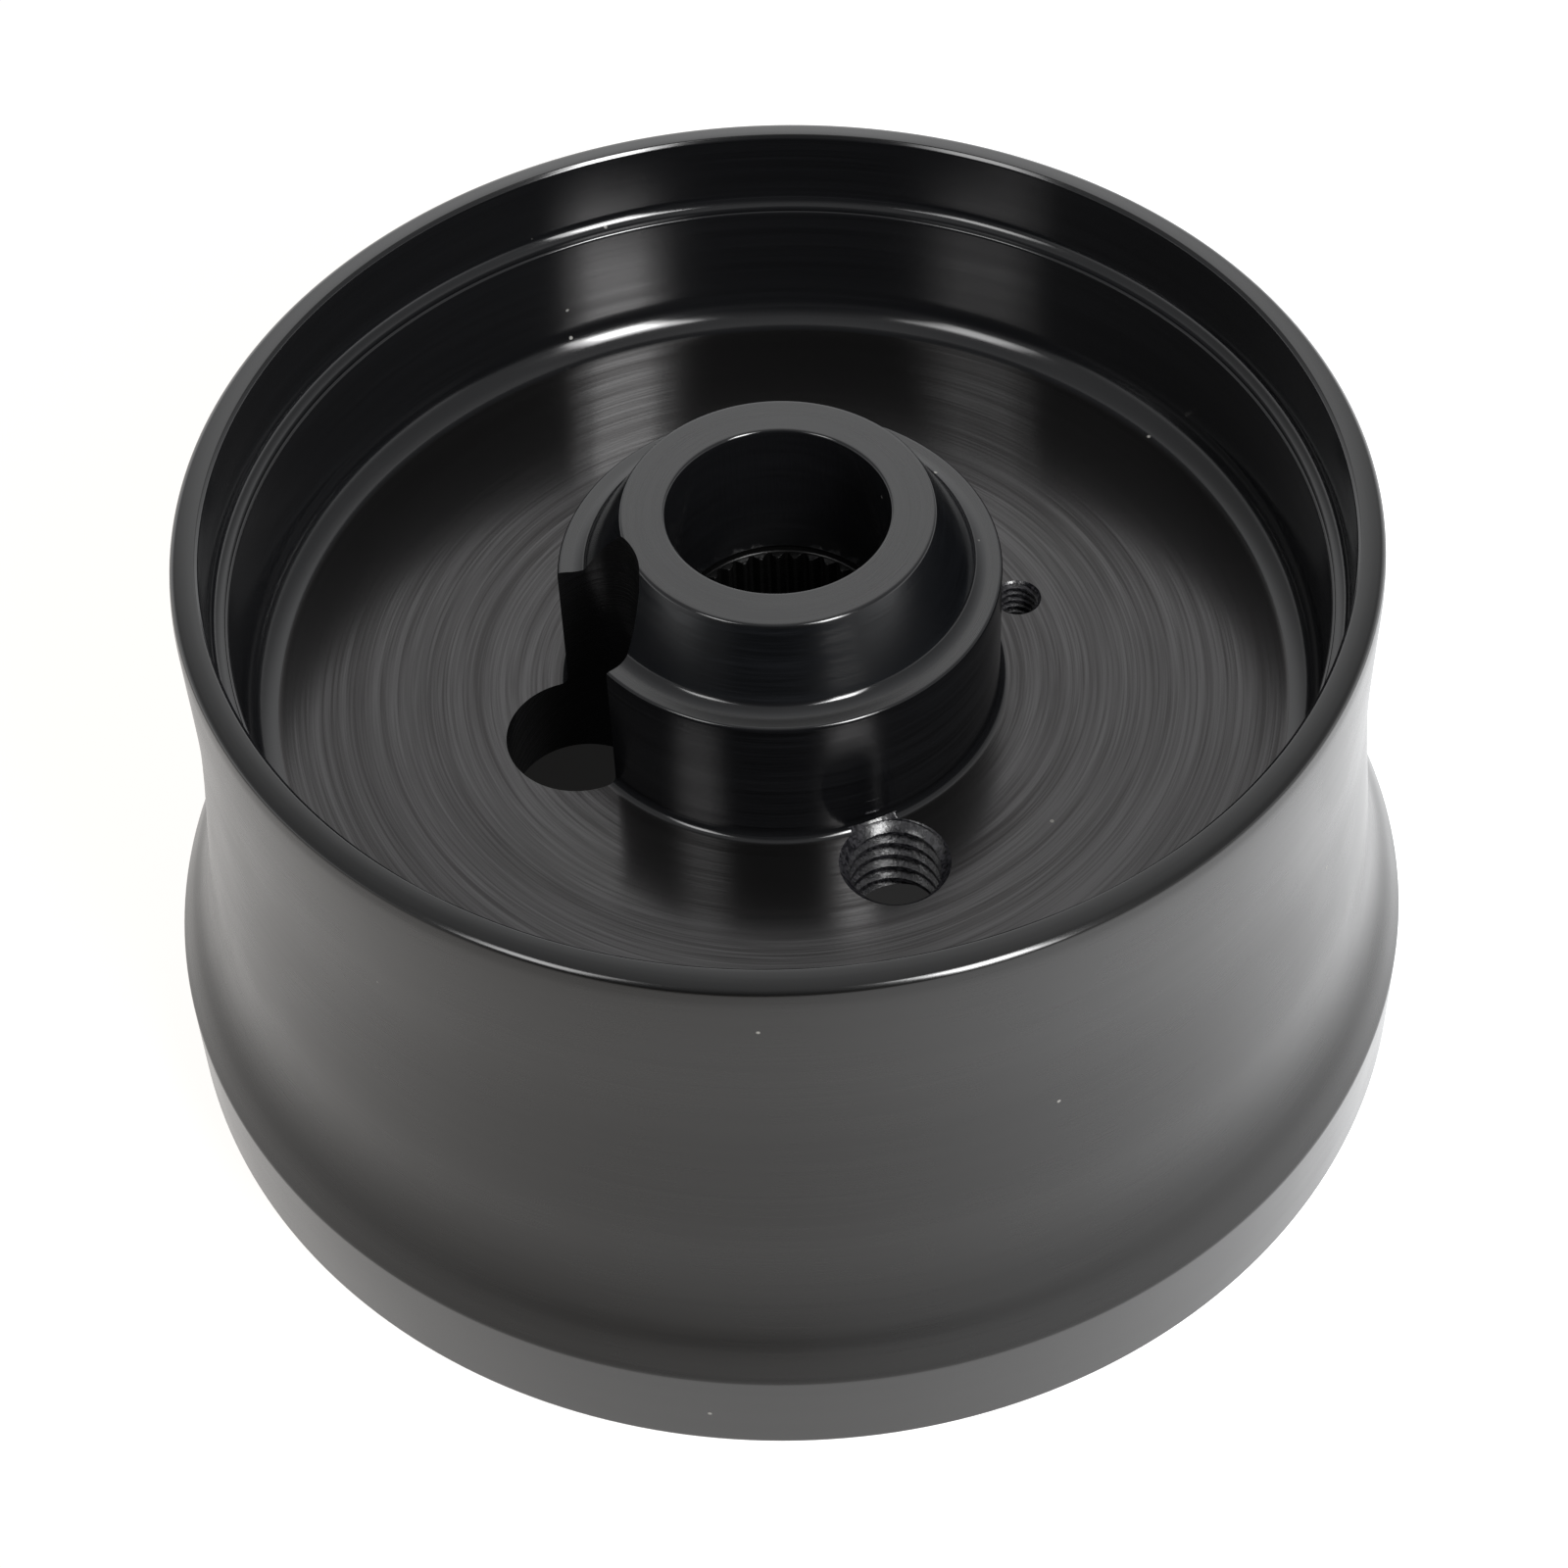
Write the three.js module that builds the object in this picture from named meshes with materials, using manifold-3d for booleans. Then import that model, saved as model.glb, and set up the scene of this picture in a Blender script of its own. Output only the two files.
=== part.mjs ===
// Splined drum hub: a concave-sided drum turned from one billet, with an open
// annular channel, a stepped central boss, a horn/pin pocket milled beside the
// boss, tapped holes in the web, an open cavity and a drilled flange below, and
// a 36-tooth splined bush seated in the lower half of the bore.
//
// Millimetres, +Z up.  Origin: centre of the flange face the hub rests on.
// +X points at the small tapped hole, the two large tapped holes lie on +Y/-Y,
// and the pocket lies on -X.

import * as THREE from 'three';
import { mergeVertices } from 'three/addons/utils/BufferGeometryUtils.js';
import Module from 'manifold-3d';

const wasm = await Module();
wasm.setup();

// ---------------------------------------------------------------- dimensions
const SEGMENTS = 64;          // facets round the turned surfaces
const HEIGHT = 56.6;          // flange face to rim face, level with the boss

// outer wall, from the flange corner up to the rim: [radius, height]
const FLANGE_R = 57.0;
const FLANGE_CORNER = 0.4;
const BAND_TOP = 9.3;         // top of the straight flange band
const OUTER_WALL = [
  [56.85, 10.0], [55.35, 13.3], [54.45, 15.4], [53.65, 18.2],
  [53.0, 22.5], [52.3, 29.0], [51.6, 37.0], [51.4, 45.0],
];
const RIM_R = 51.45;
const RIM_BREAK = [[51.45, 55.75], [51.0, 56.2], [49.8, 56.6]];   // crowned outer edge
const RIM_LAND_R = 49.2;      // inner edge of the flat rim face
const RIM_CHAMFER = 0.3;

// channel between rim wall and boss
const UPPER_WALL_R = RIM_LAND_R - RIM_CHAMFER;   // 48.9
const STEP_Z = 48.7;          // small ledge part-way down the rim wall
const STEP_FILLET = 1.0;
const LOWER_WALL_R = 47.4;
const STEP_EDGE = 0.25;
const FLOOR_Z = 36.1;         // floor of the channel
const WALL_FILLET = 3.0;
const FOOT_FILLET = 0.8;

// central boss
const BOSS_R = 19.15;
const LEDGE_Z = 50.1;         // flat ledge round the boss
const LEDGE_EDGE = 0.25;
const CONE_FOOT_R = 17.0;
const CONE_FILLET = 1.6;
const BOSS_TOP_R = 13.4;
const BOSS_TOP_Z = 56.6;
const BOSS_TOP_EDGE = 0.2;
const BORE_R = 9.6;           // smooth upper half of the bore
const BORE_CHAMFER = 0.28;
const BUSH_STOP_Z = 42.4;     // shoulder that stops the bush
const FIT_GAP = 0.3;

// splined bush
const BUSH_R = 11.0;
const SPLINE_TEETH = 36;
const SPLINE_ROOT_R = 9.25;
const SPLINE_TIP_R = 8.6;
const BUSH_EDGE = 0.08;       // edge break round the mouth of the bush

// web and lower cavity
const WEB_Z = 27.7;           // underside of the web
const CAVITY_R = 38.0;
const CAVITY_FILLET = 3.0;
const CAVITY_CHAMFER = 0.6;

// pocket beside the boss, a vertical through hole
const POCKET_D = 19.27;       // its distance from the hub's axis
const POCKET_R = 6.4;
const POCKET_DEG = 178.5;

// two large tapped holes (3/8-16 size: drilled radius, then the countersink)
const BIG_D = 23.85;
const BIG_DEG = [90.5, -89.5];
const BIG_R = 3.97;
const BIG_SINK_R = 4.8;
const BIG_SINK = 0.8;

// one small tapped hole (#8-32 size)
const SMALL_D = 22.85;
const SMALL_DEG = -0.3;
const SMALL_R = 1.73;
const SMALL_SINK_R = 2.12;
const SMALL_SINK = 0.4;

// nine blind tapped holes in the flange face (1/4-20 size)
const FLANGE_HOLES = 9;
const FLANGE_HOLE_D = 47.6;
const FLANGE_HOLE_R = 2.55;
const FLANGE_HOLE_DEPTH = 14;
const FLANGE_SINK_R = 3.3;
const FLANGE_SINK = 0.7;

// ------------------------------------------------------------------- helpers
function toManifold(geometry) {
  const g = geometry.clone();
  g.deleteAttribute('normal');
  g.deleteAttribute('uv');
  const m = mergeVertices(g, 1e-4);
  return new wasm.Manifold(new wasm.Mesh({
    numProp: 3,
    vertProperties: new Float32Array(m.attributes.position.array),
    triVerts: new Uint32Array(m.index.array),
  }));
}

function toGeometry(solid) {
  const mesh = solid.getMesh();
  const g = new THREE.BufferGeometry();
  const n = mesh.numProp;
  const count = mesh.vertProperties.length / n;
  const pos = new Float32Array(count * 3);
  for (let i = 0; i < count; i++) {
    pos[3 * i] = mesh.vertProperties[n * i];
    pos[3 * i + 1] = mesh.vertProperties[n * i + 1];
    pos[3 * i + 2] = mesh.vertProperties[n * i + 2];
  }
  g.setAttribute('position', new THREE.BufferAttribute(pos, 3));
  g.setIndex(new THREE.BufferAttribute(new Uint32Array(mesh.triVerts), 1));
  g.computeVertexNormals();
  return g;
}

// a profile of [radius, height] pairs turned about Z
function turned(profile, segments = SEGMENTS) {
  const pts = profile.map(([r, z]) => new THREE.Vector2(r, z));
  const first = pts[0];
  const last = pts[pts.length - 1];
  if (first.x > 0 && !last.equals(first)) pts.push(first.clone());
  const g = new THREE.LatheGeometry(pts, segments);
  g.rotateX(Math.PI / 2);      // the lathe's Y axis becomes Z
  let solid = toManifold(g);
  if (solid.volume() < 0) throw new Error('profile runs the wrong way');
  return solid;
}

// points on a quarter or part circle, centre (r, z), angles in degrees
function arc(r, z, radius, from, to, steps) {
  const out = [];
  for (let i = 0; i <= steps; i++) {
    const a = THREE.MathUtils.degToRad(from + (to - from) * i / steps);
    out.push([r + radius * Math.cos(a), z + radius * Math.sin(a)]);
  }
  return out;
}

// a plug of revolution standing at (x, y), to be cut out of a solid
function plug(profile, x, y, segments = 32) {
  return turned(profile, segments).translate([x, y, 0]);
}

const polar = (d, deg) => {
  const a = THREE.MathUtils.degToRad(deg);
  return [d * Math.cos(a), d * Math.sin(a)];
};

// ------------------------------------------------------------------ hub body
// Profile run anticlockwise in the (radius, height) plane.
const hubProfile = [
  // flange face, outwards
  [CAVITY_R + CAVITY_CHAMFER, 0],
  [FLANGE_R - FLANGE_CORNER, 0],
  [FLANGE_R, FLANGE_CORNER],
  [FLANGE_R, BAND_TOP],
  ...OUTER_WALL,
  // rim
  ...RIM_BREAK,
  [RIM_LAND_R, HEIGHT],
  [UPPER_WALL_R, HEIGHT - RIM_CHAMFER],
  // step
  ...arc(UPPER_WALL_R - STEP_FILLET, STEP_Z + STEP_FILLET, STEP_FILLET, 0, -90, 2),
  [LOWER_WALL_R + STEP_EDGE, STEP_Z],
  [LOWER_WALL_R, STEP_Z - STEP_EDGE],
  // channel floor
  ...arc(LOWER_WALL_R - WALL_FILLET, FLOOR_Z + WALL_FILLET, WALL_FILLET, 0, -90, 3),
  ...arc(BOSS_R + FOOT_FILLET, FLOOR_Z + FOOT_FILLET, FOOT_FILLET, 270, 180, 2),
  // boss
  [BOSS_R, LEDGE_Z - LEDGE_EDGE],
  [BOSS_R - LEDGE_EDGE, LEDGE_Z],
  [CONE_FOOT_R + 0.50 * CONE_FILLET, LEDGE_Z],
  [CONE_FOOT_R - 0.02 * CONE_FILLET, LEDGE_Z + 0.22 * CONE_FILLET],
  [CONE_FOOT_R - 0.32 * CONE_FILLET, LEDGE_Z + 0.58 * CONE_FILLET],
  [BOSS_TOP_R, BOSS_TOP_Z - BOSS_TOP_EDGE],
  [BOSS_TOP_R - BOSS_TOP_EDGE, BOSS_TOP_Z],
  [BORE_R + BORE_CHAMFER, BOSS_TOP_Z],
  [BORE_R, BOSS_TOP_Z - BORE_CHAMFER],
  // bore, shoulder and seat for the bush
  [BORE_R, BUSH_STOP_Z],
  [BUSH_R + FIT_GAP, BUSH_STOP_Z],
  [BUSH_R + FIT_GAP, WEB_Z],
  // lower cavity
  ...arc(CAVITY_R - CAVITY_FILLET, WEB_Z - CAVITY_FILLET, CAVITY_FILLET, 90, 0, 3),
  [CAVITY_R, CAVITY_CHAMFER],
];

let hub = turned(hubProfile);

// pocket: a plain vertical hole from above the boss to below the web
{
  const [x, y] = polar(POCKET_D, POCKET_DEG);
  const g = new THREE.CylinderGeometry(POCKET_R, POCKET_R, 60, 48);
  g.rotateX(Math.PI / 2);
  hub = hub.subtract(toManifold(g).translate([x, y, WEB_Z - 5 + 30]));
}

// large tapped holes
for (const deg of BIG_DEG) {
  const [x, y] = polar(BIG_D, deg);
  hub = hub.subtract(plug([
    [0, WEB_Z - 3],
    [BIG_R, WEB_Z - 3],
    [BIG_R, FLOOR_Z - BIG_SINK],
    [BIG_SINK_R, FLOOR_Z],
    [BIG_SINK_R, FLOOR_Z + 1.2],
    [0, FLOOR_Z + 1.2],
  ], x, y));
}

// small tapped hole
{
  const [x, y] = polar(SMALL_D, SMALL_DEG);
  hub = hub.subtract(plug([
    [0, WEB_Z - 3],
    [SMALL_R, WEB_Z - 3],
    [SMALL_R, FLOOR_Z - SMALL_SINK],
    [SMALL_SINK_R, FLOOR_Z],
    [SMALL_SINK_R, FLOOR_Z + 2],
    [0, FLOOR_Z + 2],
  ], x, y, 24));
}

// tapped holes of the flange face
for (let i = 0; i < FLANGE_HOLES; i++) {
  const [x, y] = polar(FLANGE_HOLE_D, i * 360 / FLANGE_HOLES);
  hub = hub.subtract(plug([
    [0, -1],
    [FLANGE_SINK_R, -1],
    [FLANGE_SINK_R, 0],
    [FLANGE_HOLE_R, FLANGE_SINK],
    [FLANGE_HOLE_R, FLANGE_HOLE_DEPTH],
    [0, FLANGE_HOLE_DEPTH + 1.4],
  ], x, y, 16));
}

// --------------------------------------------------------------- spline bush
const bushTop = BUSH_STOP_Z - FIT_GAP;
let bush;
{
  const barrel = new THREE.Shape();
  barrel.absarc(0, 0, BUSH_R, 0, Math.PI * 2, false);
  const teeth = new THREE.Path();
  const pitch = 2 * Math.PI / SPLINE_TEETH;
  for (let i = 0; i < SPLINE_TEETH; i++) {
    const a = i * pitch;
    // tip of one tooth, then the root of the space beside it
    const steps = [
      [SPLINE_TIP_R, a - 0.10 * pitch], [SPLINE_TIP_R, a + 0.10 * pitch],
      [SPLINE_ROOT_R, a + 0.40 * pitch], [SPLINE_ROOT_R, a + 0.60 * pitch],
    ];
    steps.forEach(([r, t], k) => {
      const x = r * Math.cos(t);
      const y = r * Math.sin(t);
      if (i === 0 && k === 0) teeth.moveTo(x, y);
      else teeth.lineTo(x, y);
    });
  }
  teeth.closePath();
  barrel.holes.push(teeth);
  const g = new THREE.ExtrudeGeometry(barrel, {
    depth: bushTop - WEB_Z, bevelEnabled: false, curveSegments: SEGMENTS,
  });
  g.translate(0, 0, WEB_Z);
  bush = toManifold(g);
  // edge break and shallow face at both ends of the teeth
  const rim = SPLINE_ROOT_R + BUSH_EDGE;
  bush = bush.subtract(turned([
    [0, bushTop - BUSH_EDGE], [SPLINE_ROOT_R, bushTop - BUSH_EDGE],
    [rim, bushTop], [rim, bushTop + 1], [0, bushTop + 1],
  ]));
  bush = bush.subtract(turned([
    [0, WEB_Z - 1], [rim, WEB_Z - 1], [rim, WEB_Z],
    [SPLINE_ROOT_R, WEB_Z + BUSH_EDGE], [0, WEB_Z + BUSH_EDGE],
  ]));
}

// ------------------------------------------------------------------ assembly
const anodised = new THREE.MeshStandardMaterial({ color: 0x1b1c1f, roughness: 0.38, metalness: 0.85 });
const blackSteel = new THREE.MeshStandardMaterial({ color: 0x17171a, roughness: 0.45, metalness: 0.9 });

const group = new THREE.Group();

const hubMesh = new THREE.Mesh(toGeometry(hub), anodised);
hubMesh.name = 'hub_body';
group.add(hubMesh);

const bushMesh = new THREE.Mesh(toGeometry(bush), blackSteel);
bushMesh.name = 'spline_bush';
group.add(bushMesh);

export default group;
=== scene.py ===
import math

import bpy
import numpy as np
from mathutils import Matrix, Vector


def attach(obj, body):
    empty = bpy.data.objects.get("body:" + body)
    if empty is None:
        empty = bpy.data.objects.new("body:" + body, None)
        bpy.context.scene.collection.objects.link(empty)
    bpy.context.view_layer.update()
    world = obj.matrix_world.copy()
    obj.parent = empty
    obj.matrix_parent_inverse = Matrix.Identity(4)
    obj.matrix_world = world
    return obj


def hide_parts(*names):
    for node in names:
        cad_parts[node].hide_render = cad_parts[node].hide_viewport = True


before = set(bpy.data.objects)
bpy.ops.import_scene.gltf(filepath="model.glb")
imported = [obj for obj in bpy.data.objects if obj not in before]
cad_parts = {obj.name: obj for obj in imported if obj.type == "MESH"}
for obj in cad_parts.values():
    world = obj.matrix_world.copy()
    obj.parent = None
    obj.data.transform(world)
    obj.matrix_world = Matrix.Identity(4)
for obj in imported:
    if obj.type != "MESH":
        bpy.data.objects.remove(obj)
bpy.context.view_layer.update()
MM = 0.001
scene = bpy.context.scene

# ------------------------------------------------------------------ camera
# Solved view of the photographed hub: the part's +X (small tapped hole) is
# turned PHI degrees against the picture's right-hand direction.
PHI = 23.0
PITCH, ROLL = math.radians(49.776), math.radians(-0.843)
turn = Matrix.Rotation(math.radians(-PHI), 4, "Z")


def studio(x, y, z):
    """A place in the picture's directions (right, away, up; millimetres)."""
    return turn @ Vector((x * MM, y * MM, z * MM))


rz = Matrix(((math.cos(ROLL), -math.sin(ROLL), 0), (math.sin(ROLL), math.cos(ROLL), 0), (0, 0, 1)))
look = Matrix(((1, 0, 0), (0, -math.sin(PITCH), -math.cos(PITCH)), (0, math.cos(PITCH), -math.sin(PITCH))))
to_cam = rz @ look
axes = to_cam.transposed() @ Matrix.Diagonal((1, -1, -1))
cam_data = bpy.data.cameras.new("camera")
cam_data.sensor_width = 36
cam_data.lens = 3790.4 * 36 / 1600
cam_data.shift_x = (800 - 886.016) / 1600
cam_data.shift_y = (825.413 - 800) / 1600
cam_data.clip_start, cam_data.clip_end = 0.01, 20
cam = bpy.data.objects.new("camera", cam_data)
scene.collection.objects.link(cam)
cam.matrix_world = turn @ (Matrix.Translation((7.29 * MM, -222.5 * MM, 280.3 * MM)) @ axes.to_4x4())
scene.camera = cam

# ------------------------------------------------------------- mesh helpers


def fillet(p0, p1, p2, radius, steps):
    """Points of the arc that rounds corner p1, with a close pair of rings
    beside each tangent point so that flats stay flat when shaded smooth."""
    p0, p1, p2 = (np.array(p, float) for p in (p0, p1, p2))
    a, b = p0 - p1, p2 - p1
    la, lb = np.linalg.norm(a), np.linalg.norm(b)
    a, b = a / la, b / lb
    half = math.acos(max(-1, min(1, float(a @ b)))) / 2
    cut = radius / math.tan(half)
    t0, t1 = p1 + a * cut, p1 + b * cut
    centre = p1 + (a + b) / np.linalg.norm(a + b) * (radius / math.sin(half))
    u, v = t0 - centre, t1 - centre
    full = math.acos(max(-1, min(1, float(u @ v) / radius**2)))
    out = []
    room0, room1 = la - cut, lb - cut
    if room0 > 0.3:
        out.append(tuple(t0 + a * 0.08))
    for i in range(steps + 1):
        w = i / steps
        q = (math.sin((1 - w) * full) * u + math.sin(w * full) * v) / math.sin(full)
        out.append(tuple(centre + q))
    if room1 > 0.3:
        out.append(tuple(t1 + b * 0.08))
    return out


def rounded(poly):
    """A closed profile from corners (r, z, radius, steps); radius 0 keeps the point."""
    out, n = [], len(poly)
    for i, (r, z, radius, steps) in enumerate(poly):
        if radius == 0:
            out.append((r, z))
        else:
            out += fillet(poly[i - 1][:2], (r, z), poly[(i + 1) % n][:2], radius, steps)
    return out


def fill_long(points, longest):
    """Splits the long straight runs of a closed profile."""
    out = []
    for i, p in enumerate(points):
        q = points[(i + 1) % len(points)]
        out.append(p)
        k = int(math.hypot(q[0] - p[0], q[1] - p[1]) / longest)
        out += [(p[0] + (q[0] - p[0]) * j / (k + 1), p[1] + (q[1] - p[1]) * j / (k + 1)) for j in range(1, k + 1)]
    return out


def make(name, verts, faces):
    mesh = bpy.data.meshes.new(name)
    mesh.from_pydata([tuple(v) for v in verts], [], faces)
    mesh.update()
    mesh.validate()
    ob = bpy.data.objects.new(name, mesh)
    scene.collection.objects.link(ob)
    return ob


def turned(name, profile, segments):
    """A closed ring turned from a profile that runs anticlockwise in (r, z)."""
    n = len(profile)
    p = np.array(profile) * MM
    a = np.arange(segments) * 2 * math.pi / segments
    verts = np.stack([
        np.outer(np.cos(a), p[:, 0]), np.outer(np.sin(a), p[:, 0]), np.tile(p[:, 1], (segments, 1))], 2).reshape(-1, 3)
    faces = []
    for j in range(segments):
        j0, j1 = j * n, (j + 1) % segments * n
        for k in range(n):
            k1 = (k + 1) % n
            faces.append((j0 + k, j1 + k, j1 + k1, j0 + k1))
    return make(name, verts, faces)


def plug(profile, x, y, segments):
    """Vertices and faces of a solid turned about (x, y); its first and last points are on the axis."""
    a = np.arange(segments) * 2 * math.pi / segments
    verts = [(x, y, profile[0][1])]
    for r, z in profile[1:-1]:
        verts += [(x + r * math.cos(t), y + r * math.sin(t), z) for t in a]
    verts.append((x, y, profile[-1][1]))
    faces, last = [], len(verts) - 1
    for j in range(segments):
        j1 = (j + 1) % segments
        faces.append((0, 1 + j1, 1 + j))
        for k in range(len(profile) - 3):
            b, t = 1 + k * segments, 1 + (k + 1) * segments
            faces.append((b + j, b + j1, t + j1, t + j))
        b = 1 + (len(profile) - 3) * segments
        faces.append((b + j, b + j1, last))
    return verts, faces


def tap(major, minor, pitch, z0, z1, x, y, columns, phase=0.0, start=None, end=None):
    """The solid that a tap of this thread cuts: a helix whose rows of faces follow
    the thread, from z0 to z1, fading to the drilled hole beyond start and end."""
    flank = (major - minor) / math.sqrt(3)
    lead = pitch / 16
    rows = [(-lead, major), (lead, major), (lead + flank * 0.5, (major + minor) / 2), (lead + flank, minor),
            (pitch - lead - flank, minor), (pitch - lead - flank * 0.5, (major + minor) / 2)]
    per = len(rows)
    turns = int(math.ceil((z1 - z0) / pitch)) + 1
    count = turns * per

    def radius(base, z):
        if start is not None and z < start[0]:
            base = min(base, max(minor - 0.04, major - (start[0] - z) / start[1] * (major - minor)))
        if end is not None and z > end[0]:
            base = min(base, max(minor - 0.04, major - (z - end[0]) / end[1] * (major - minor)))
        return base

    verts, index = [], {}
    for j in range(columns):
        top = count + (per if j == 0 else 0)
        ang = 2 * math.pi * j / columns
        for k in range(top + 1):
            d, r = rows[k % per]
            z = z0 - pitch + (k // per) * pitch + d + pitch * j / columns
            r = radius(r, z)
            index[k, j] = len(verts)
            verts.append((x + r * math.cos(ang + phase), y + r * math.sin(ang + phase), z))
    faces = []
    for j in range(columns):
        for k in range(count):
            if j < columns - 1:
                faces.append((index[k, j], index[k, j + 1], index[k + 1, j + 1], index[k + 1, j]))
            else:
                faces.append((index[k, j], index[k + per, 0], index[k + per + 1, 0], index[k + 1, j]))
    low = [index[0, j] for j in range(columns)] + [index[k, 0] for k in range(per, 0, -1)]
    high = [index[count, j] for j in range(columns)] + [index[k, 0] for k in range(count + per, count, -1)]
    for loop, up in ((low, False), (high, True)):
        z = sum(verts[i][2] for i in loop) / len(loop)
        verts.append((x, y, z))
        c = len(verts) - 1
        for i in range(len(loop)):
            a, b = loop[i], loop[(i + 1) % len(loop)]
            faces.append((c, a, b) if up else (c, b, a))
    return verts, faces


def join(name, parts):
    verts, faces = [], []
    for v, f in parts:
        n = len(verts)
        verts += [(p[0] * MM, p[1] * MM, p[2] * MM) for p in v]
        faces += [tuple(i + n for i in face) for face in f]
    return make(name, verts, faces)


def cut(target, cutter, material_index):
    """Takes cutter out of target; the new faces get the given material slot."""
    for m in target.data.materials:
        cutter.data.materials.append(m)
    for p in cutter.data.polygons:
        p.material_index = material_index
    mod = target.modifiers.new("cut", "BOOLEAN")
    mod.operation, mod.solver, mod.object = "DIFFERENCE", "MANIFOLD", cutter
    mod.material_mode = "TRANSFER"
    bpy.context.view_layer.update()
    got = target.evaluated_get(bpy.context.evaluated_depsgraph_get())
    mesh = bpy.data.meshes.new_from_object(got)
    target.modifiers.clear()
    old = target.data
    target.data = mesh
    bpy.data.meshes.remove(old)
    bpy.data.objects.remove(cutter)


# --------------------------------------------------------------- dimensions
HEIGHT = 56.6
FLOOR_Z, WEB_Z = 36.1, 27.7
OUTER = [(56.60, 10.44), (56.16, 11.5), (55.65, 12.6), (55.12, 13.6), (54.59, 14.7),
         (54.04, 16.2), (53.60, 17.8), (53.22, 19.8), (52.90, 22.4), (52.62, 25.4), (52.14, 30.1), (51.69, 35.3),
         (51.41, 40.4), (51.38, 45.6), (51.42, 50.7), (51.45, 54.4)]


def spline(points, per):
    """A smooth curve through points (Catmull-Rom on chord length)."""
    p = np.array(points, float)
    p = np.vstack([2 * p[0] - p[1], p, 2 * p[-1] - p[-2]])
    t = np.concatenate([[0], np.cumsum(np.sqrt(np.linalg.norm(np.diff(p, axis=0), axis=1)))])
    out = []
    for i in range(1, len(p) - 2):
        for s in np.linspace(t[i], t[i + 1], per, endpoint=False):
            a1 = (t[i] - s) / (t[i] - t[i - 1]) * p[i - 1] + (s - t[i - 1]) / (t[i] - t[i - 1]) * p[i]
            a2 = (t[i + 1] - s) / (t[i + 1] - t[i]) * p[i] + (s - t[i]) / (t[i + 1] - t[i]) * p[i + 1]
            a3 = (t[i + 2] - s) / (t[i + 2] - t[i + 1]) * p[i + 1] + (s - t[i + 1]) / (t[i + 2] - t[i + 1]) * p[i + 2]
            b1 = (t[i + 1] - s) / (t[i + 1] - t[i - 1]) * a1 + (s - t[i - 1]) / (t[i + 1] - t[i - 1]) * a2
            b2 = (t[i + 2] - s) / (t[i + 2] - t[i]) * a2 + (s - t[i]) / (t[i + 2] - t[i]) * a3
            out.append(tuple((t[i + 1] - s) / (t[i + 1] - t[i]) * b1 + (s - t[i]) / (t[i + 1] - t[i]) * b2))
    out.append(tuple(p[-2]))
    return out


wall = [(r, z, 0, 0) for r, z in spline(OUTER, 2)]
foot = []                                   # the cone's foot: a wide shallow sweep, then a tight curve
for centre_r, centre_z, radius, first, last in ((18.091, 52.5, 2.4, 90, 62), (17.316, 51.043, 0.75, 62, 28.8)):
    for i in range(9 if radius > 1 else 10):
        e = math.radians(first + (last - first) * i / 9)
        foot.append((centre_r - radius * math.cos(e), centre_z - radius * math.sin(e), 0, 0))
foot = [(18.17, 50.1, 0, 0)] + foot + [(16.615, 50.762, 0, 0)]
# the rim: its top tilts outward little by little, turns a tight corner, then eases into the wall
crown = [(51.44, 54.9), (51.415, 55.2), (51.38, 55.47)]
for n in range(5, 69, 6):
    w = min(1.0, max(0.0, (n - 20) / 30))
    crown.append((50.68 - 0.05 * w + 0.66 * math.cos(math.radians(n)), 55.72 - 0.02 * w + 0.66 * math.sin(math.radians(n))))
drop = []
for i in range(12):
    r = 49.28 + (50.89 - 49.28) * i / 12
    drop.append((r, HEIGHT - 0.29 * ((r - 49.2) / 1.69) ** 2))
crown = [(r, z, 0, 0) for r, z in crown + drop[::-1]]
profile = fill_long(rounded(
    [(38.6, 0, 0.12, 2), (57.0, 0, 0.4, 4), (57.0, 9.5, 1.1, 6)] + wall + crown + [
        (49.2, HEIGHT, 0.06, 2), (48.9, 56.3, 0.12, 2),
        (48.9, 48.7, 1.15, 8), (47.4, 48.7, 0.24, 5), (47.4, FLOOR_Z, 3.0, 12),
        (19.15, FLOOR_Z, 0.8, 8), (19.15, 50.1, 0.28, 5)] + foot + [
        (13.4, HEIGHT, 0.36, 5), (9.6, HEIGHT, 0.28, 6),
        (9.6, 42.4, 0.1, 2), (11.3, 42.4, 0.12, 2), (11.3, WEB_Z, 0.12, 2),
        (38.0, WEB_Z, 3.0, 8), (38.0, 0.6, 0.12, 2)]), 6.0)
SEGMENTS = 256
hub = turned("drum_hub", profile, SEGMENTS)

# ---------------------------------------------------------------- materials


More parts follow.
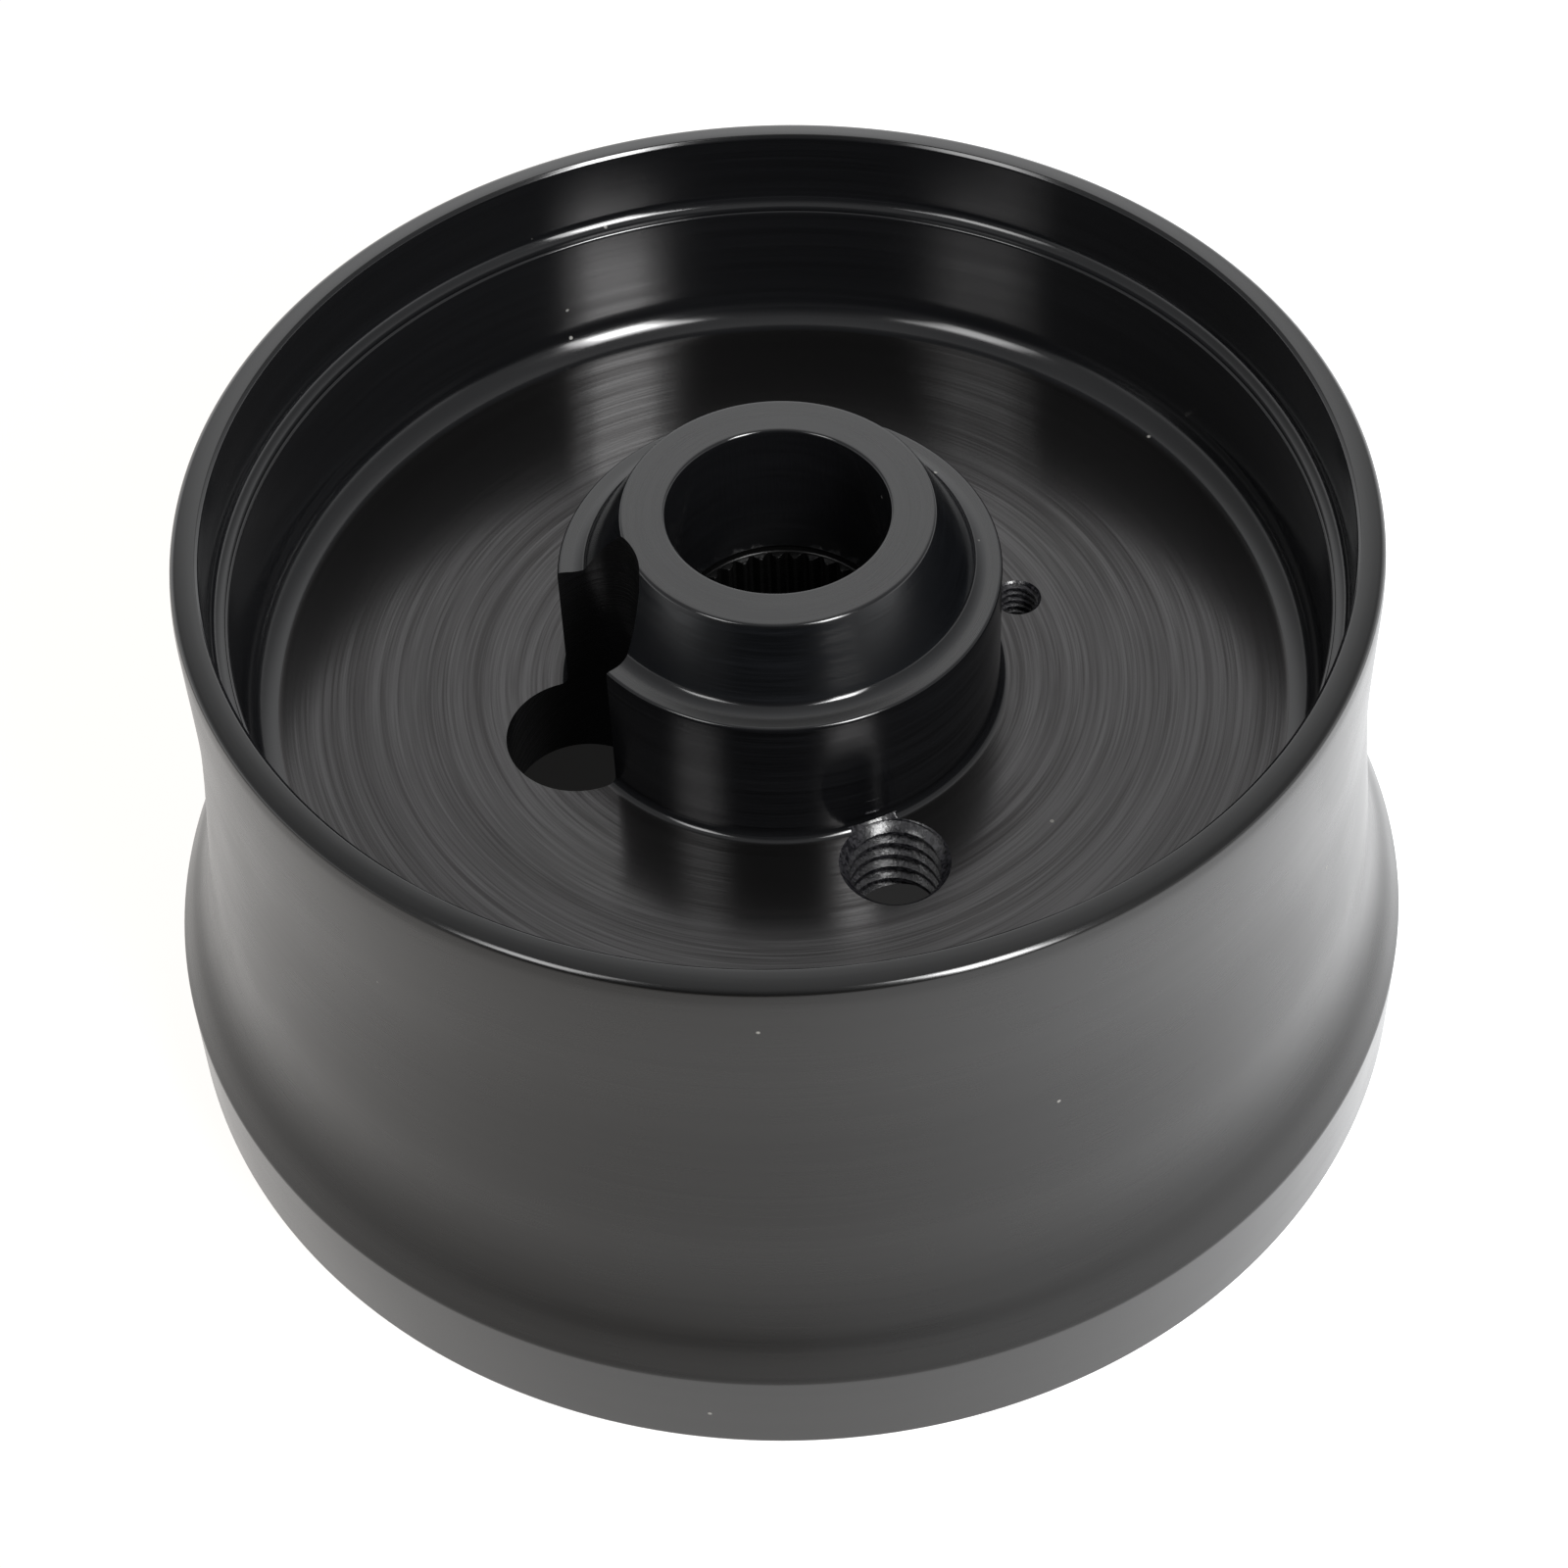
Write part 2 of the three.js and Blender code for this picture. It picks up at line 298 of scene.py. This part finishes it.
class Nodes:
    """A short way to write a node tree."""

    def __init__(self, name):
        self.mat = bpy.data.materials.new(name)
        self.mat.use_nodes = True
        self.tree = self.mat.node_tree
        self.tree.nodes.clear()
        self.out = self.tree.nodes.new("ShaderNodeOutputMaterial")
        self.bsdf = self.tree.nodes.new("ShaderNodeBsdfPrincipled")
        self.link(self.bsdf.outputs[0], self.out.inputs["Surface"])

    def link(self, a, b):
        self.tree.links.new(a, b)

    def put(self, value, socket):
        if isinstance(value, bpy.types.NodeSocket):
            self.link(value, socket)
        else:
            socket.default_value = value

    def math(self, op, a, b=None, c=None, clamp=False):
        n = self.tree.nodes.new("ShaderNodeMath")
        n.operation, n.use_clamp = op, clamp
        for i, v in enumerate((a, b, c)):
            if v is not None:
                self.put(v, n.inputs[i])
        return n.outputs[0]

    def combine(self, x, y, z):
        n = self.tree.nodes.new("ShaderNodeCombineXYZ")
        for i, v in enumerate((x, y, z)):
            self.put(v, n.inputs[i])
        return n.outputs[0]

    def position(self):
        n = self.tree.nodes.new("ShaderNodeTexCoord")
        s = self.tree.nodes.new("ShaderNodeSeparateXYZ")
        self.link(n.outputs["Object"], s.inputs[0])
        return n.outputs["Object"], s.outputs[0], s.outputs[1], s.outputs[2]

    def noise(self, vector, scale=1.0, detail=0.0, rough=0.5):
        n = self.tree.nodes.new("ShaderNodeTexNoise")
        n.noise_dimensions = "3D"
        self.link(vector, n.inputs["Vector"])
        n.inputs["Scale"].default_value = scale
        n.inputs["Detail"].default_value = detail
        n.inputs["Roughness"].default_value = rough
        return n.outputs["Fac"]

    def voronoi(self, vector, scale):
        n = self.tree.nodes.new("ShaderNodeTexVoronoi")
        self.link(vector, n.inputs["Vector"])
        n.inputs["Scale"].default_value = scale
        return n.outputs["Distance"], n.outputs["Color"]

    def ramp(self, value, lo, hi, a=0.0, b=1.0):
        n = self.tree.nodes.new("ShaderNodeMapRange")
        n.clamp = True
        self.put(value, n.inputs["Value"])
        for i, v in zip((1, 2, 3, 4), (lo, hi, a, b)):
            n.inputs[i].default_value = v
        return n.outputs[0]

    def mix(self, fac, a, b):
        n = self.tree.nodes.new("ShaderNodeMix")
        n.data_type = "RGBA"
        self.put(fac, n.inputs[0])
        self.put(a, n.inputs[6])
        self.put(b, n.inputs[7])
        return n.outputs[2]

    def bump(self, height, distance, strength=1.0):
        n = self.tree.nodes.new("ShaderNodeBump")
        n.inputs["Strength"].default_value = strength
        n.inputs["Distance"].default_value = distance
        self.put(height, n.inputs["Height"])
        return n.outputs[0]

    def radial_tangent(self):
        n = self.tree.nodes.new("ShaderNodeTangent")
        n.direction_type, n.axis = "RADIAL", "Z"
        self.link(n.outputs[0], self.bsdf.inputs["Tangent"])


def dust(nd, pos, scale, size, share):
    """A mask of sparse tiny specks: dots in a share of the cells of a grid."""
    dist, col = nd.voronoi(pos, scale)
    sep = nd.tree.nodes.new("ShaderNodeSeparateColor")
    nd.link(col, sep.inputs[0])
    dot = nd.ramp(dist, size * 0.6, size, 1.0, 0.0)
    keep = nd.math("LESS_THAN", sep.outputs[0], share)
    size_of = nd.ramp(sep.outputs[1], 0.0, 1.0, 0.35, 1.0)
    return nd.math("MULTIPLY", nd.math("MULTIPLY", dot, keep), size_of)


def anodised(name, ior, rough, aniso, band, fine, tint_lo, tint_hi, rough_swing, speck=0.02, cloud=0.0, metal=0.0,
             grit=0.0, brush=0.0):
    """Black anodised aluminium with the ring marks of turning: coarse bands and
    fine feed lines that follow radius on faces and height on walls. With metal,
    the tints are the strength of the mirror and carry the rings."""
    nd = Nodes(name)
    b = nd.bsdf
    pos, x, y, z = nd.position()
    r = nd.math("SQRT", nd.math("ADD", nd.math("MULTIPLY", x, x), nd.math("MULTIPLY", y, y)))
    cx, cy = nd.math("DIVIDE", x, r), nd.math("DIVIDE", y, r)
    s = nd.math("MULTIPLY", nd.math("MULTIPLY_ADD", z, 1.37, r), 1000.0)

    def rings(per_mm, around, detail=0.0, shift=0.0):
        v = nd.combine(nd.math("MULTIPLY_ADD", s, per_mm, shift),
                       nd.math("MULTIPLY", cx, around), nd.math("MULTIPLY", cy, around))
        return nd.noise(v, 1.0, detail)

    wide = rings(0.42, 0.5, 1.0)
    mid = rings(1.7, 0.7, 1.0, 31.0)
    lines = rings(4.6, 1.3, 1.0, 77.0)
    hair = rings(9.5, 4.5, 1.0, 133.0)                     # short arcs of single tool marks
    blend = nd.math("MULTIPLY_ADD", mid, 0.26, nd.math("MULTIPLY_ADD", lines, 0.30, nd.math(
        "MULTIPLY_ADD", hair, 0.24, nd.math("MULTIPLY", wide, 0.20))))
    shade = nd.ramp(blend, 0.40, 0.60)
    specks = dust(nd, pos, 420.0, 0.09, speck)
    # grit adds a fine mottle to colour and bump. In colour it is partly random blotchy tone; with the strong grit of
    # the threads it also paints glints for lit metal flecks.
    mottle_and_painted_glints = nd.noise(pos, 2600.0, 2.0, 0.6) if grit else None
    if grit:
        shade = nd.math("MULTIPLY_ADD", nd.ramp(mottle_and_painted_glints, 0.35, 0.65, -0.5, 0.5), grit, shade, clamp=True)
    colour = nd.mix(shade, tint_lo, tint_hi)
    colour = nd.mix(specks, colour, (0.42, 0.41, 0.38, 1))
    nd.link(colour, b.inputs["Base Color"])
    b.inputs["Metallic"].default_value = metal
    b.inputs["IOR"].default_value = ior
    b.inputs["Anisotropic"].default_value = aniso
    b.inputs["Anisotropic Rotation"].default_value = 0.25
    nd.radial_tangent()
    grain = nd.ramp(blend, 0.40, 0.60, rough + rough_swing, rough - rough_swing)
    if cloud:
        patch = nd.noise(pos, 90.0, 2.0, 0.6)
        grain = nd.math("ADD", grain, nd.ramp(patch, 0.35, 0.65, -cloud, cloud))
    nd.link(nd.math("ADD", grain, nd.math("MULTIPLY", specks, 0.4)), b.inputs["Roughness"])
    height = nd.math("MULTIPLY_ADD", hair, brush, nd.math("MULTIPLY_ADD", lines, fine, nd.math(
        "MULTIPLY_ADD", mid, band * 0.5, nd.math("MULTIPLY", wide, band))))
    if grit:
        height = nd.math("MULTIPLY_ADD", mottle_and_painted_glints, grit * 20.0, height)
    nd.link(nd.bump(height, 0.000001), b.inputs["Normal"])
    return nd.mat


m_floor = anodised("anodised_faced_floor", 1.77, 0.19, 0.72, 3.0, 0.9, (0.056, 0.054, 0.054, 1), (0.098, 0.0965, 0.097, 1), 0.045, metal=0.94)
m_turned = anodised("anodised_turned", 1.71, 0.13, 0.6, 1.2, 0.35, (0.0060, 0.0062, 0.0070, 1), (0.0095, 0.0098, 0.0110, 1), 0.03)
m_boss = anodised("anodised_boss_wall", 1.66, 0.20, 0.45, 1.5, 0.5, (0.0022, 0.0023, 0.0028, 1), (0.0085, 0.0088, 0.0100, 1), 0.03, 0.03, 0.03, grit=0.03, brush=0.12)
m_cone = anodised("anodised_boss_cone", 1.68, 0.16, 0.70, 2.0, 0.9, (0.0028, 0.0032, 0.0040, 1), (0.0085, 0.0092, 0.0108, 1), 0.035, 0.03, 0.02, grit=0.015, brush=0.6)
m_outer = anodised("anodised_outer_wall", 1.425, 0.27, 0.3, 0.7, 0.12, (0.0038, 0.0034, 0.0031, 1), (0.0065, 0.0060, 0.0055, 1), 0.008, 0.010, 0.015)
m_band = anodised("anodised_flange_band", 1.51, 0.24, 0.3, 0.7, 0.15, (0.005, 0.005, 0.005, 1), (0.009, 0.009, 0.009, 1), 0.008, 0.006, 0.015)
m_rim = anodised("anodised_rim", 1.74, 0.15, 0.3, 0.8, 0.2, (0.004, 0.004, 0.004, 1), (0.008, 0.008, 0.008, 1), 0.015, 0.03)
m_land = anodised("anodised_lands", 1.77, 0.27, 0.3, 0.8, 0.25, (0.005, 0.005, 0.005, 1), (0.010, 0.010, 0.010, 1), 0.02)
m_milled = anodised("anodised_milled", 1.60, 0.28, 0.5, 6.0, 3.0, (0.0015, 0.0015, 0.0015, 1), (0.006, 0.006, 0.0065, 1), 0.05, grit=0.06)
# painted light: the thread faces get a lighter tint than the other anodised faces and a strong speckle, painted glints
# for lit metal flecks
m_thread = anodised("anodised_threads", 1.74, 0.24, 0.2, 1.0, 0.3, (0.005, 0.005, 0.007, 1), (0.043, 0.042, 0.047, 1), 0.06, 0.06, grit=1.4)
m_steel = anodised("black_steel", 1.55, 0.30, 0.4, 1.5, 0.5, (0.0015, 0.0015, 0.0015, 1), (0.005, 0.005, 0.005, 1), 0.04)

# ------------------------------------------------------- pocket and threads
TURNED, FLOOR, OUTSIDE, LAND, MILLED, THREAD, BAND, BOSS, CONE, RIM = range(10)
for m in (m_turned, m_floor, m_outer, m_land, m_milled, m_thread, m_band, m_boss, m_cone, m_rim):
    hub.data.materials.append(m)


def polar(d, deg):
    return d * math.cos(math.radians(deg)), d * math.sin(math.radians(deg))


px, py = polar(19.27, 178.5)
cut(hub, join("c", [plug([(0, WEB_Z - 4)] + [(6.4, z) for z in (WEB_Z - 4, 31, 40, 48, 60)] + [(0, 60)], px, py, 96)]), MILLED)
big = [polar(23.85, d) for d in (90.5, -89.5)]
small = polar(22.85, -0.3)
flange = [polar(47.6, 40 * i) for i in range(9)]
threads = [tap(4.7625, 3.97, 1.5875, 27.1, FLOOR_Z + 1.2, x, y, 72, phase=-2.55) for x, y in big]
threads.append(tap(2.083, 1.73, 0.794, WEB_Z - 0.8, FLOOR_Z + 0.8, *small, 40))
drills = []
for x, y in flange:
    threads.append(tap(3.175, 2.55, 1.27, -1.0, 11.5, x, y, 28, end=(9.0, 2.4)))
    drills.append(plug([(0, -1), (2.55, -1), (2.55, 5), (2.55, 14), (0, 15.4)], x, y, 32))
cut(hub, join("c", threads), THREAD)
cut(hub, join("c", drills), THREAD)
sinks = []
for x, y in big:
    sinks.append(plug([(0, FLOOR_Z - 0.93), (3.87, FLOOR_Z - 0.93), (4.8, FLOOR_Z), (5.3, FLOOR_Z + 0.5), (0, FLOOR_Z + 0.5)], x, y, 72))
sinks.append(plug([(0, FLOOR_Z - 0.45), (1.67, FLOOR_Z - 0.45), (2.12, FLOOR_Z), (2.4, FLOOR_Z + 0.28), (0, FLOOR_Z + 0.28)], *small, 40))
for x, y in flange:
    sinks.append(plug([(0, -0.5), (3.8, -0.5), (3.3, 0), (2.5, 0.8), (0, 0.8)], x, y, 40))
cut(hub, join("c", sinks), THREAD)


def finish_shading(ob, path):
    """Smooth normals: the turned faces take theirs from the profile, so that the
    cuts leave no trace in the reflections; the rest splits at its edges."""
    mesh = ob.data
    mesh.polygons.foreach_set("use_smooth", [True] * len(mesh.polygons))
    mesh.set_sharp_from_angle(angle=math.radians(26))
    mesh.update()
    n_loops = len(mesh.loops)
    normals = np.empty(n_loops * 3, np.float32)
    mesh.corner_normals.foreach_get("vector", normals)
    normals = normals.reshape(-1, 3)
    vi = np.empty(n_loops, np.int32)
    mesh.loops.foreach_get("vertex_index", vi)
    co = np.empty(len(mesh.vertices) * 3, np.float32)
    mesh.vertices.foreach_get("co", co)
    co = co.reshape(-1, 3)[vi] / MM
    mats = np.empty(len(mesh.polygons), np.int32)
    mesh.polygons.foreach_get("material_index", mats)
    totals = np.empty(len(mesh.polygons), np.int32)
    mesh.polygons.foreach_get("loop_total", totals)
    on_lathe = np.repeat(mats == TURNED, totals)
    p = np.array(path)
    q = np.roll(p, -1, axis=0)
    d = q - p
    length = np.linalg.norm(d, axis=1)
    seg = np.stack([d[:, 1], -d[:, 0]], 1) / length[:, None]     # outward normal of each run
    back = np.roll(seg, 1, axis=0)
    wa, wb = np.roll(length, 1), length
    vn = back * wb[:, None] + seg * wa[:, None]                  # nearer run counts more
    vn /= np.linalg.norm(vn, axis=1)[:, None]
    rr, zz = np.hypot(co[:, 0], co[:, 1]), co[:, 2]
    pick = np.where(on_lathe)[0]
    fn = np.empty(len(mesh.polygons) * 3, np.float32)
    mesh.polygons.foreach_get("normal", fn)
    fn = np.repeat(fn.reshape(-1, 3), totals, axis=0)
    u = np.stack([co[:, 0] / rr, co[:, 1] / rr], 1)
    face2 = np.stack([(fn[:, :2] * u).sum(1), fn[:, 2]], 1)
    for chunk in np.array_split(pick, max(1, len(pick) // 20000)):
        pt = np.stack([rr[chunk], zz[chunk]], 1)
        rel = pt[:, None] - p[None]
        t = np.clip((rel * d[None]).sum(2) / (length**2)[None], 0, 1)
        gap = np.linalg.norm(rel - t[..., None] * d[None], axis=2)
        gap += np.where(face2[chunk] @ seg.T < 0.8, 5.0, 0.0)
        best = gap.argmin(1)
        tt = t[np.arange(len(chunk)), best][:, None]
        n2 = vn[best] * (1 - tt) + np.roll(vn, -1, axis=0)[best] * tt
        n2 /= np.linalg.norm(n2, axis=1)[:, None]
        ok = gap.min(1) < 0.5
        out = np.stack([u[chunk, 0] * n2[:, 0], u[chunk, 1] * n2[:, 0], n2[:, 1]], 1)
        normals[chunk[ok]] = out[ok]
    mesh.normals_split_custom_set([tuple(v) for v in normals.astype(float)])


finish_shading(hub, profile)

# finishes by place: channel floor, outer wall, flat lands
mesh = hub.data
centre = np.empty(len(mesh.polygons) * 3, np.float32)
mesh.polygons.foreach_get("center", centre)
centre = centre.reshape(-1, 3) / MM
up = np.empty(len(mesh.polygons) * 3, np.float32)
mesh.polygons.foreach_get("normal", up)
up = up.reshape(-1, 3)[:, 2]
mats = np.empty(len(mesh.polygons), np.int32)
mesh.polygons.foreach_get("material_index", mats)
cr, cz = np.hypot(centre[:, 0], centre[:, 1]), centre[:, 2]
lathe = mats == TURNED
mats[lathe & (abs(cz - FLOOR_Z) < 0.03) & (up > 0.99)] = FLOOR
mats[lathe & (cr > 51.1) & (cz > 9.45) & (cz < 56.05)] = OUTSIDE
mats[lathe & (cr > 56.5) & (cz > 0.02) & (cz < 9.45)] = BAND
mats[lathe & (up > 0.99) & (cz > 49.9)] = LAND
mats[lathe & (cr > 49.1) & (cz > 56.05)] = RIM
mats[lathe & (cr > 18.9) & (cr < 19.3) & (cz > 37) & (cz < 49.75)] = BOSS
mats[lathe & (cr > 13.3) & (cr < 16.7) & (cz > 50.7) & (cz < 56.2) & (up < 0.6)] = CONE
mesh.polygons.foreach_set("material_index", mats)
mesh.update()

# -------------------------------------------------------------- spline bush
TEETH, TOP, LOW = 36, 42.1, WEB_Z
pitch = 2 * math.pi / TEETH
ROOT_R, TIP_R, BUSH_R = 9.25, 8.6, 11.0
key = [(-0.30, 0.47), (-0.16, 0.12), (-0.125, 0.04), (-0.09, 0.0), (0.0, 0.0), (0.09, 0.0), (0.125, 0.04), (0.16, 0.12),
       (0.30, 0.47), (0.385, 0.90), (0.42, 0.98), (0.5, 1.0), (0.58, 0.98), (0.615, 0.90)]
angles, inner = [], []
for i in range(TEETH):
    for f, depth in key:
        angles.append((i + f) * pitch)
        inner.append(TIP_R + depth * (ROOT_R - TIP_R))
angles, inner = np.array(angles), np.array(inner)
count = len(angles)
face = np.minimum(inner + 0.11, ROOT_R + 0.01)          # inner edge of the tooth faces
drop = np.maximum(face - inner, 0.01)                   # their edge break


def ring(r, z):
    return np.broadcast_to(r, count).astype(float), np.broadcast_to(z, count).astype(float)


half = [ring(BUSH_R, 0.4), ring(BUSH_R, 0.25), ring(BUSH_R - 0.05, 0.06), ring(BUSH_R - 0.25, 0), ring(BUSH_R - 0.5, 0),
        ring(9.45, 0), ring(9.35, 0), ring(9.335, 0.005), ring(9.325, 0.015), ring(9.272, 0.068), ring(9.262, 0.085),
        ring(face, 0.09), ring(face - drop * 0.3, 0.09 + drop * 0.1), ring(inner, 0.09 + drop), ring(inner, 0.12 + drop), ring(inner, 0.9)]
rows = [(r, LOW + d) for r, d in half[::-1]] + [ring(BUSH_R, 35.0)] + [(r, TOP - d) for r, d in half] + [ring(inner, 35.0)]
verts = np.concatenate([np.stack([r * np.cos(angles), r * np.sin(angles), z], 1) for r, z in rows]) * MM
faces = []
for k in range(len(rows)):
    a, b = k * count, (k + 1) % len(rows) * count
    for j in range(count):
        j1 = (j + 1) % count
        faces.append((a + j, a + j1, b + j1, b + j))
bush = make("splined_sleeve", verts, faces)
bush.data.materials.append(m_steel)
bush.data.polygons.foreach_set("use_smooth", [True] * len(bush.data.polygons))
bush.data.set_sharp_from_angle(angle=math.radians(24))

for piece, node, slot in ((hub, "hub_body", "hub_anodised"), (bush, "spline_bush", "bush_steel")):
    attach(piece, "root")
    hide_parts(node)

# -------------------------------------------------------- floor and lights
floor = make("floor", [(-3, -3, -0.0002), (3, -3, -0.0002), (3, 3, -0.0002), (-3, 3, -0.0002)], [(0, 1, 2, 3)])
fm = Nodes("white_table")
pos, x, y, z = fm.position()
reach = fm.math("SQRT", fm.math("ADD", fm.math("MULTIPLY", x, x), fm.math("MULTIPLY", y, y)))
# The table's own colour is kept dark so no real shadow shows on it; its brightness is a painted glow.
fm.bsdf.inputs["Base Color"].default_value = (0.1, 0.1, 0.1, 1)
fm.bsdf.inputs["Roughness"].default_value = 0.9
fm.bsdf.inputs["Specular IOR Level"].default_value = 0.0
fm.bsdf.inputs["Specular Tint"].default_value = (1, 1, 1, 1)
# Painted light on the table: the glow rises towards the picture's right, and painted shade makes it nearly dark under
# the hub. The glow's tint runs warm on the left and cool on the right.
rightward = fm.math("ADD", fm.math("MULTIPLY", x, turn[0][0]), fm.math("MULTIPLY", y, turn[1][0]))
shaded = fm.ramp(rightward, -0.014, 0.004, 0.010, 0.02)
outside = fm.ramp(reach, 0.053, 0.0565)
painted_side_glow = fm.math("MULTIPLY", fm.ramp(rightward, -0.05, 0.0, 0.98, 1.2), fm.ramp(rightward, 0.0, 0.075, 1.0, 1.55))
lit = fm.math("MULTIPLY_ADD", outside, painted_side_glow, fm.math("MULTIPLY", fm.math("SUBTRACT", 1.0, outside), shaded))
fm.link(fm.mix(fm.ramp(rightward, -0.05, 0.05), (1.0, 0.975, 0.95, 1), (0.985, 0.99, 1.0, 1)), fm.bsdf.inputs["Emission Color"])
fm.link(lit, fm.bsdf.inputs["Emission Strength"])          # painted light: the table glows instead of being lit, brighter towards the right, with painted shade under the hub
floor.data.materials.append(fm.mat)

# the room: a bright wall behind the hub, dim sides, and dark towards the camera
world = bpy.data.worlds.new("studio")
scene.world = world
world.use_nodes = True
wt = world.node_tree
room = Nodes.__new__(Nodes)
room.tree = wt
ray = wt.nodes.new("ShaderNodeTexCoord").outputs["Generated"]


def toward(azimuth, elevation):
    """How far the ray points in this direction of the picture: the cosine."""
    a, e = math.radians(azimuth), math.radians(elevation)
    n = wt.nodes.new("ShaderNodeVectorMath")
    n.operation = "DOT_PRODUCT"
    wt.links.new(ray, n.inputs[0])
    n.inputs[1].default_value = turn @ Vector((math.cos(e) * math.cos(a), math.cos(e) * math.sin(a), math.sin(e)))
    return n.outputs["Value"]


back = room.math("POWER", room.math("MAXIMUM", toward(92, 28), 0.0), 8.0)
dark = room.ramp(toward(-92, 15), 0.60, 0.93, 1.0, 0.0)
high = room.math("POWER", room.math("MAXIMUM", toward(70, 68), 0.0), 12.0)
side = room.math("MULTIPLY_ADD", high, 0.2, room.math("MULTIPLY", dark, 0.25))
level = room.math("MULTIPLY", room.ramp(toward(0, 90), 0.08, 0.40, 0.9, 0.0), room.ramp(toward(-92, 0), 0.25, 0.75, 1.0, 0.0))
glow = room.math("ADD", side, room.math("MAXIMUM", level, room.math("MULTIPLY", back, 1.03)))
wt.links.new(room.math("ADD", glow, 0.02), wt.nodes["Background"].inputs["Strength"])
wt.nodes["Background"].inputs["Color"].default_value = (0.985, 0.99, 1, 1)


def softbox(name, azimuth, elevation, distance, width, height, radiance):
    """A rectangular soft light that faces the hub, placed in the picture's directions;
    its width and height are the angles it covers, in degrees."""
    a, e = math.radians(azimuth), math.radians(elevation)
    place = studio(distance * math.cos(e) * math.cos(a), distance * math.cos(e) * math.sin(a), 40 + distance * math.sin(e))
    data = bpy.data.lights.new(name, "AREA")
    data.shape = "RECTANGLE"
    data.size, data.size_y = (2 * distance * MM * math.tan(math.radians(t / 2)) for t in (width, height))
    data.energy = radiance * math.pi * data.size * data.size_y
    ob = bpy.data.objects.new(name, data)
    scene.collection.objects.link(ob)
    ob.location = place
    ob.rotation_euler = (place - Vector((0, 0, 0.04))).to_track_quat("Z", "Y").to_euler()
    return ob


softbox("key", -54.3, 41, 900, 16.6, 40, 6.6)
softbox("key_heart", -54.3, 44, 880, 10, 19, 17.5)
softbox("fill", -136, 46, 900, 18, 23, 2.6)
softbox("fill_heart", -136, 46, 880, 11, 15, 2.8)

scene.view_settings.view_transform = "Standard"
